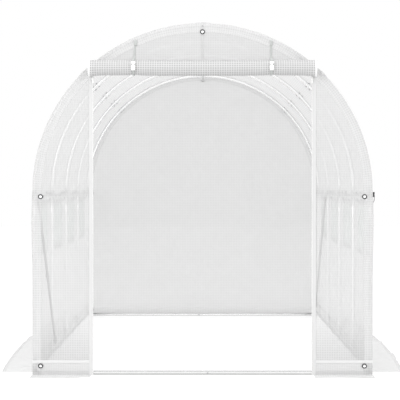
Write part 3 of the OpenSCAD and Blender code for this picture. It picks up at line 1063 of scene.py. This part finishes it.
def end_sheet(name, x_line, z_foot, y, facing, materials, banded, bow, seed, node):
    """A flat sheet under the arch, from z_foot up, with soft folds of a few millimetres.

    Its top is at spring + sqrt(radius^2 - x^2). Facing is -1 for the front wall and 1 for the
    back. Banded sheets have a doubled hem at the foot.
    """
    top = SPRING_Z + np.sqrt(np.clip(CUT_R ** 2 - x_line ** 2, 0, None))
    top = np.maximum(top, z_foot + 0.0005)
    if banded:
        hem_rows = np.broadcast_to(np.array([[0], [HEM / 2], [HEM]]), (3, len(x_line)))
        z = np.concatenate([hem_rows, HEM + (top - HEM) * np.linspace(0, 1, 36)[1:, None]])
    else:
        z = z_foot + (top - z_foot) * np.linspace(0, 1, 14)[:, None]
    x = np.broadcast_to(x_line, z.shape)
    loose = np.clip((top - z) / 0.12, 0, 1) * np.clip((z - z_foot) / 0.12, 0, 1)
    y_out = y - facing * bow * loose * (0.5 + 0.5 * ripples(x * 1.6, z * 0.5, 8, 0.15, 0.7, seed))
    slots = np.zeros((z.shape[0] - 1, 1), dtype=int)
    if banded:
        slots[:2] = 1
    sheet = sheet_mesh(name, stacked(x, y_out, z), stacked(x, z), materials, slots, flip=facing > 0)
    weld(sheet, outwards=False)
    place(sheet, "cover_fabric", node)


side_x = np.linspace(DOOR_HALF, CUT_R, 27)
over_x = np.linspace(-DOOR_HALF, DOOR_HALF, 61)
rear_x = CUT_R * np.sin(np.linspace(-math.pi / 2, math.pi / 2, 91))
front_y, rear_y = FRONT_Y + 0.001, BACK_Y - 0.001
end_sheet("front_sheet_right", side_x, 0.0, front_y, -1, END_MATERIALS, True, 0.004, 21,
          "front_panel_right")
end_sheet("front_sheet_left", -side_x[::-1], 0.0, front_y, -1, END_MATERIALS, True, 0.004, 22,
          "front_panel_left")
end_sheet("front_sheet_top", over_x, DOOR_TOP, front_y, -1, [HEADER_FILM], False, 0.003, 23,
          "front_panel_top")
end_sheet("rear_sheet", rear_x, 0.0, rear_y, 1, [FILM, HEM_FILM], True, 0.0025, 24, "rear_wall")

# %% [markdown]
# ## Edges of the end walls
#
# Where an end wall is sewn to the cover, the film is doubled into a band. The same profile
# that shapes the cover gives the band: it runs the same way round, at a small step inwards.
# A woven tape finishes the foot of the front sheets.

# %% Edge bands and foot tapes
BAND_PROUD = 0.0006
BAND_OVER = 0.003        # how far the band turns over the edge of the arch


def hem_ring(name, y, facing):
    """The doubled edge of an end wall: a band up the wall, round the arch and down."""
    arch_end = SPRING_Z + ARCH_LENGTH
    s = np.concatenate([np.linspace(0, SPRING_Z, 12)[:-1], np.linspace(SPRING_Z, arch_end, 97),
                        np.linspace(arch_end, GIRTH, 12)[1:]])
    inward = np.linspace(0.0, HEM_RING, 4)
    x, z, out_x, out_z = [values[:, None] for values in profile_point(s)]
    across = inward[None, :] - BAND_PROUD - BAND_OVER * np.clip(out_z, 0, 0.3) / 0.3
    points = stacked(x - across * out_x, y, np.maximum(z - across * out_z, 0.0005))
    band = sheet_mesh(name, points, stacked(inward[None, :], s[:, None]), [HEM_FILM], flip=facing < 0)
    place(band, "cover_fabric")


def foot_tape(name, x_ends):
    """The tape sewn across the foot of a front sheet, over the edge of the hem."""
    x, z = np.meshgrid(np.linspace(*x_ends, 12), np.linspace(TAPE_LOW, TAPE_HIGH, 3), indexing="ij")
    tape = sheet_mesh(name, stacked(x, FRONT_Y - 0.0002, z), stacked(z, x), [FOOT_WEB], flip=True)
    place(tape, "cover_fabric")


hem_ring("front_edge_band", FRONT_Y + 0.0004, -1)
hem_ring("rear_edge_band", BACK_Y - 0.0004, 1)
foot_tape("foot_tape_front_right", (DOOR_HALF, END_R))
foot_tape("foot_tape_front_left", (-END_R, -DOOR_HALF))

# %% [markdown]
# ## Skirts
#
# The cover is longer than the walls are high. The rest lies on the ground as a skirt, to
# be weighed down with soil. It waves a little, and least where it meets the wall.

# %% Skirts on the ground
SKIRT_WAVE = 0.010
SKIRT_LIES = 0.0012
SKIRT_ROWS = 15
SKIRT_END = 0.200        # how far a side skirt reaches out at its two ends


def face_up(work):
    """Turns a lying sheet over if its faces point down."""
    work.normal_update()
    if sum(face.normal.z for face in work.faces) < 0:
        bmesh.ops.reverse_faces(work, faces=work.faces)


def skirt(name, inner, outer, node, seed, film=GROUND_FILM):
    """A sheet on the ground between two edge lines, each a (n, 2) array of points.

    A point is inner + share (outer - inner), and its height is a random wave, squared
    so that it stays over the ground, times the share.
    """
    share = np.linspace(0, 1, SKIRT_ROWS)[:, None, None]
    flat = inner[None] + share * (outer - inner)[None]
    x, y = flat[..., 0], flat[..., 1]
    height = ripples(x, y, 9, 0.22, 0.8, seed) ** 2 * SKIRT_WAVE * np.clip(share[..., 0] * 2.2, 0, 1) * 0.5
    points = stacked(x, y, SKIRT_LIES + np.clip(height, 0, 0.014))
    hem = (np.arange(SKIRT_ROWS - 1) == SKIRT_ROWS - 2).astype(int)[:, None]
    sheet = sheet_mesh(name, points, stacked(x, y), [film, HEM_FILM], hem)
    edit_mesh(sheet, face_up)
    place(sheet, "cover_fabric", node)


for side, word in SIDES:
    low, high = corners(f"skirt_{word}")
    wall_x, far_x = (low[0], high[0]) if side > 0 else (high[0], low[0])
    y_line = np.linspace(low[1], high[1], 91)
    bow_depth = abs(far_x) - abs(side * (abs(wall_x) + SKIRT_END))
    half_length = (high[1] - low[1]) / 2
    bow_radius = (half_length ** 2 + bow_depth ** 2) / (2 * bow_depth)
    outer_x = side * (abs(far_x) - bow_radius + np.sqrt(bow_radius ** 2 - y_line ** 2))
    edges = stacked(wall_x, y_line), stacked(outer_x, y_line)
    skirt(f"ground_skirt_{word}", *edges, f"skirt_{word}", 31 + side)

low, high = corners("skirt_back")
x_line = np.linspace(low[0], high[0], 61)
skirt("ground_skirt_back", stacked(x_line, low[1]), stacked(x_line, high[1]), "skirt_back", 35)
low, high = corners("skirt_front")
for side, word in SIDES:
    x_line = np.linspace(side * DOOR_HALF, side * high[0], 19)
    skirt(f"ground_skirt_front_{word}", stacked(x_line, high[1]), stacked(x_line, low[1]), "skirt_front",
          36 + side, HEM_FILM)

# %% [markdown]
# ## The rolled-up door
#
# The door is a sheet of 1.8 m rolled up from its foot and tied over the doorway. A roll is
# a spiral: the radius grows by one turn's thickness in each turn. Between its straps it
# sags a little, and its loose ends droop.

# %% Door roll
(_, ROLL_Y, ROLL_Z), (ROLL_HALF, _, ROLL_R) = middle_and_half("door_roll")
ROLL_TURNS = 10
ROLL_CORE = 0.009
ROLL_START = 0.25        # the angle at which the spiral starts
END_TAPE = 0.013
strap_top = corners("door_straps")[1][2]
STRAP_W = 0.012
STRAP_X = corners("door_straps")[1][0] - STRAP_W / 2
STRAP_SQUEEZE = 0.10
DROOP, DROOP_REACH = 0.011, 0.09


def roll_centre(x):
    """The roll's middle line: it hangs lowest between the straps and beyond them."""
    span = np.abs(x) / STRAP_X
    return -np.where(span < 1, 0.0035 * (1 - span ** 2), 0.0025 * (span - 1))


roll_x = spaced((-ROLL_HALF, -ROLL_HALF + END_TAPE, 3), (-ROLL_HALF + END_TAPE, ROLL_HALF - END_TAPE, 84),
                (ROLL_HALF - END_TAPE, ROLL_HALF, 3))
turn = np.linspace(0, 2 * math.pi * ROLL_TURNS, ROLL_TURNS * 30 + 1)
growth = (ROLL_R - 0.0006 - ROLL_CORE) / (2 * math.pi * ROLL_TURNS)
spiral_r = ROLL_CORE + growth * turn
spiral_steps = np.hypot(np.diff(spiral_r), (spiral_r[1:] + spiral_r[:-1]) / 2 * np.diff(turn))
way = np.concatenate([[0], np.cumsum(spiral_steps)])

turn_grid, x_grid = np.meshgrid(turn, roll_x, indexing="ij")
r_grid = np.broadcast_to(spiral_r[:, None], turn_grid.shape)
outer_share = (r_grid / ROLL_R) ** 3
squeeze = 1 - STRAP_SQUEEZE * bell(np.abs(x_grid), STRAP_X, 0.03) * outer_share
wrinkles = 1 - 0.012 * (1 + ripples(x_grid, turn_grid * 0.05, 8, 0.08, 0.4, 41)) * outer_share
r_grid = r_grid * squeeze * wrinkles
local_y, local_z = r_grid * np.cos(turn_grid + ROLL_START), r_grid * np.sin(turn_grid + ROLL_START)
end_share = np.clip((np.abs(x_grid) - ROLL_HALF + DROOP_REACH) / DROOP_REACH, 0, 1) ** 2
local_z = local_z - DROOP * end_share * np.clip(-local_z / ROLL_R, 0, 1) * outer_share
roll_points = stacked(x_grid, ROLL_Y + local_y, ROLL_Z + local_z + roll_centre(x_grid))
on_end_tape = (np.abs((roll_x[:-1] + roll_x[1:]) / 2) > ROLL_HALF - END_TAPE).astype(int)
door = sheet_mesh("rolled_door", roll_points, stacked(x_grid, way[:, None]), [SHADED_ROLLED_FILM, WHITE_TAPE],
                  on_end_tape)
place(door, "cover_fabric", "door_roll")

# %% [markdown]
# ## Straps and buckles
#
# Two webbing straps hang from the arch, pass in front of the roll and come back under it to
# the inside of the sheet over the door. Each is a flat ribbon carried along a path in the
# plane x = constant. A white buckle closes it at the front of the roll.

# %% Ribbons along a path
RIBBON_SECTION = np.array([(-1, -0.6), (-0.94, -1), (0.94, -1), (1, -0.6),
                           (1, 0.6), (0.94, 1), (-0.94, 1), (-1, 0.6)])


def ribbon(path, x_middle, width, thickness):
    """A flat band along a path of (y, z) points: a rounded oblong section carried along it.

    x_middle is one number, or one for each point of a band that leans sideways.
    """
    tangent = np.gradient(path, axis=0)
    tangent /= np.linalg.norm(tangent, axis=1, keepdims=True)
    normal = stacked(-tangent[:, 1], tangent[:, 0])
    across, deep = RIBBON_SECTION[:, 0] * width / 2, RIBBON_SECTION[:, 1] * thickness / 2
    flat = path[:, None] + normal[:, None] * deep[None, :, None]
    x = np.broadcast_to(np.reshape(x_middle, (-1, 1)) + across, flat.shape[:2])
    points = np.concatenate([x[..., None], flat], axis=-1)
    middle = np.broadcast_to(points.mean(axis=1, keepdims=True), points.shape)
    closed = np.concatenate([middle[:1], points, middle[-1:]])
    length = run_along(path)
    length = np.concatenate([length[:1], length, length[-1:]])
    return grid_arrays(closed, stacked(across[None, :], length[:, None]), close_columns=True)


def smooth_path(corner_points, count, passes):
    """An even path through corner points, with its corners rounded by repeated averaging."""
    corner_points = np.asarray(corner_points, dtype=float)
    along = run_along(corner_points)
    even = np.linspace(0, along[-1], count)
    path = np.stack([np.interp(even, along, values) for values in corner_points.T], axis=-1)
    for _ in range(passes):
        path[1:-1] = (path[:-2] + 2 * path[1:-1] + path[2:]) / 4
    return path

# %% Straps
STRAP_T, LOOP_T = 0.0014, 0.0016
LOOP_WIDER = 1.3
STRAP_LEAN = {-1: 0.010, 1: 0.001}       # how far each strap leans to the right at its top
outside_y, inside_y = FRONT_Y - 0.0012, FRONT_Y + 0.0045
wrap_angle = np.linspace(math.radians(75), math.radians(290), 26)
WRAP_R = ROLL_R * 0.97 + 0.0012
around = stacked(ROLL_Y + WRAP_R * np.cos(wrap_angle), ROLL_Z + WRAP_R * np.sin(wrap_angle))
strap_points = [(outside_y, strap_top - 0.002), (outside_y, ROLL_Z + ROLL_R + 0.016), *around,
                (inside_y - 0.012, DOOR_TOP - 0.022), (inside_y, DOOR_TOP - 0.004),
                (inside_y, strap_top - 0.012)]
strap_path = smooth_path(strap_points, 110, 3)
loop_top, loop_foot = strap_top - 0.002, strap_top - 0.034
sewn_loop = smooth_path([(outside_y - 0.0012, loop_top), (outside_y - 0.0030, loop_top - 0.006),
                         (outside_y - 0.0032, loop_foot + 0.005), (outside_y - 0.0014, loop_foot)], 14, 2)
strap_parts = []
for side, lean in STRAP_LEAN.items():
    over_roll = np.clip((strap_path[:, 1] - ROLL_Z - ROLL_R) / (strap_top - ROLL_Z - ROLL_R), 0, 1)
    strap_parts.append(ribbon(strap_path, side * STRAP_X + lean * over_roll, STRAP_W, STRAP_T))
    strap_parts.append(ribbon(sewn_loop, side * STRAP_X + lean, STRAP_W * LOOP_WIDER, LOOP_T))
straps = link_mesh("door_tie_straps", *join_arrays(strap_parts), materials=[STRAP_WEB])
weld(straps)
place(straps, "strap", "door_straps")

# %% Buckles
buckle_middle, buckle_half = middle_and_half("strap_buckles")
BUCKLE_Z = buckle_middle[2] - 0.008
BUCKLE_HALF_W = 0.012
BUCKLE_T = 0.0070


def pillow(z_line, half_width, half_depth, centre, power=4.0, sides=24):
    """A closed form whose section at each height is a superellipse.

    A point of the section at angle a is (w |cos a|^(2/p) sign, d |sin a|^(2/p) sign).
    """
    angle = np.linspace(0, 2 * np.pi, sides, endpoint=False)
    c, s = np.cos(angle), np.sin(angle)
    ex, ey = np.sign(c) * np.abs(c) ** (2 / power), np.sign(s) * np.abs(s) ** (2 / power)
    x = centre[0] + half_width[:, None] * ex
    y = centre[1] + half_depth[:, None] * ey
    return grid_arrays(stacked(x, y, centre[2] + z_line[:, None]), close_columns=True)


def rounded_ends(count, low, high, soft):
    """Heights from low to high, and a share that falls to 0 at both ends like a circle."""
    z = low + (high - low) * (1 - np.cos(np.linspace(0, np.pi, count))) / 2
    edge = np.minimum(z - low, high - z)
    share = np.sqrt(np.clip(1 - np.clip(1 - edge / soft, 0, 1) ** 2, 1e-6, 1))
    return z, share


buckle_parts = []
for side, word in SIDES:
    at = (side * STRAP_X, buckle_middle[1], BUCKLE_Z)
    z, share = rounded_ends(15, -buckle_half[2], 0.004, 0.0035)
    taper = 1 - 0.16 * np.clip((-z - 0.012) / 0.014, 0, 1)
    buckle_parts.append(pillow(z, BUCKLE_HALF_W * taper * (0.55 + 0.45 * share), BUCKLE_T / 2 * share, at))
    z, share = rounded_ends(11, 0.012, buckle_half[2], 0.0035)
    buckle_parts.append(pillow(z, BUCKLE_HALF_W * (0.55 + 0.45 * share), BUCKLE_T * 0.42 * share, at))
    for offset, width in ((-0.0042, 0.0018), (0.0, 0.0022), (0.0042, 0.0018)):
        z, share = rounded_ends(7, 0.0, 0.016, 0.002)
        arm = (at[0] + offset, at[1], at[2])
        buckle_parts.append(pillow(z, width * share, 0.0021 * share, arm, 3.0, 12))
buckles = link_mesh("strap_side_buckles", *join_arrays(buckle_parts), materials=[WHITE_PLASTIC])
weld(buckles)
place(buckles, "buckle", "strap_buckles")

# %% [markdown]
# ## Zips
#
# Half of each zip stays on the sheet beside the doorway: a woven tape with a row of teeth
# along its free edge and a slider parked at the top. A tooth is a small block, and one
# block is copied all the way up.

# %% Zip tapes, teeth and sliders
zip_low, zip_high = corners("door_zip_right")
ZIP_HALF = (zip_high[0] - zip_low[0]) / 2
ZIP_X = (zip_high[0] + zip_low[0]) / 2
ZIP_Z = (zip_low[2], zip_high[2])
TOOTH_PITCH = 0.004
SLIDER_DROP = 0.012
SLIDER_HALF, PULLER_LENGTH = 0.009, 0.028
tooth_z = np.arange(ZIP_Z[0] + 0.006, ZIP_Z[1] - 0.01, TOOTH_PITCH)
tooth = turned([(CLOSED, -0.0018), (0.0011, -0.0018), (0.0013, -0.0012), (0.0013, 0.0012), (0.0011, 0.0018),
                (CLOSED, 0.0018)], 6)
for side, word in SIDES:
    z, u = np.meshgrid(np.linspace(*ZIP_Z, 60), np.linspace(-ZIP_HALF, ZIP_HALF, 6), indexing="ij")
    y = zip_low[1] + 0.0008 + 0.0006 * ripples(u, z, 6, 0.1, 0.5, 51 + side) * (u < 0)
    tape_points = stacked(side * (ZIP_X + u), y, z)
    tape = sheet_mesh(f"zip_tape_{word}", tape_points, stacked(u, z), [ZIP_WEB], flip=side < 0)
    place(tape, "zip_tape", f"door_zip_{word}")
    teeth_x = side * (ZIP_X - ZIP_HALF + 0.0012)
    teeth = repeated(tooth, stacked(teeth_x, zip_low[1], tooth_z), (1.0, 0.0, 0.0))
    z, share = rounded_ends(9, -SLIDER_HALF, SLIDER_HALF, 0.003)
    slider = pillow(z, 0.0055 * share * (1 - 0.25 * np.clip(z / SLIDER_HALF, -1, 1)), 0.0032 * share,
                    (teeth_x, zip_low[1] - 0.001, ZIP_Z[1] - SLIDER_DROP), 3.0, 16)
    z, share = rounded_ends(9, -PULLER_LENGTH, 0.0, 0.003)
    puller = pillow(z, 0.0034 * share, 0.0009 * share,
                    (teeth_x, zip_low[1] - 0.0052, ZIP_Z[1] - SLIDER_DROP), 3.0, 12)
    metal = link_mesh(f"zip_teeth_{word}", *join_arrays([teeth, slider, puller]), materials=[WHITE_PLASTIC])
    weld(metal)
    place(metal, "zip_tape")

# %% Bounds of the pieces
low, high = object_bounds()
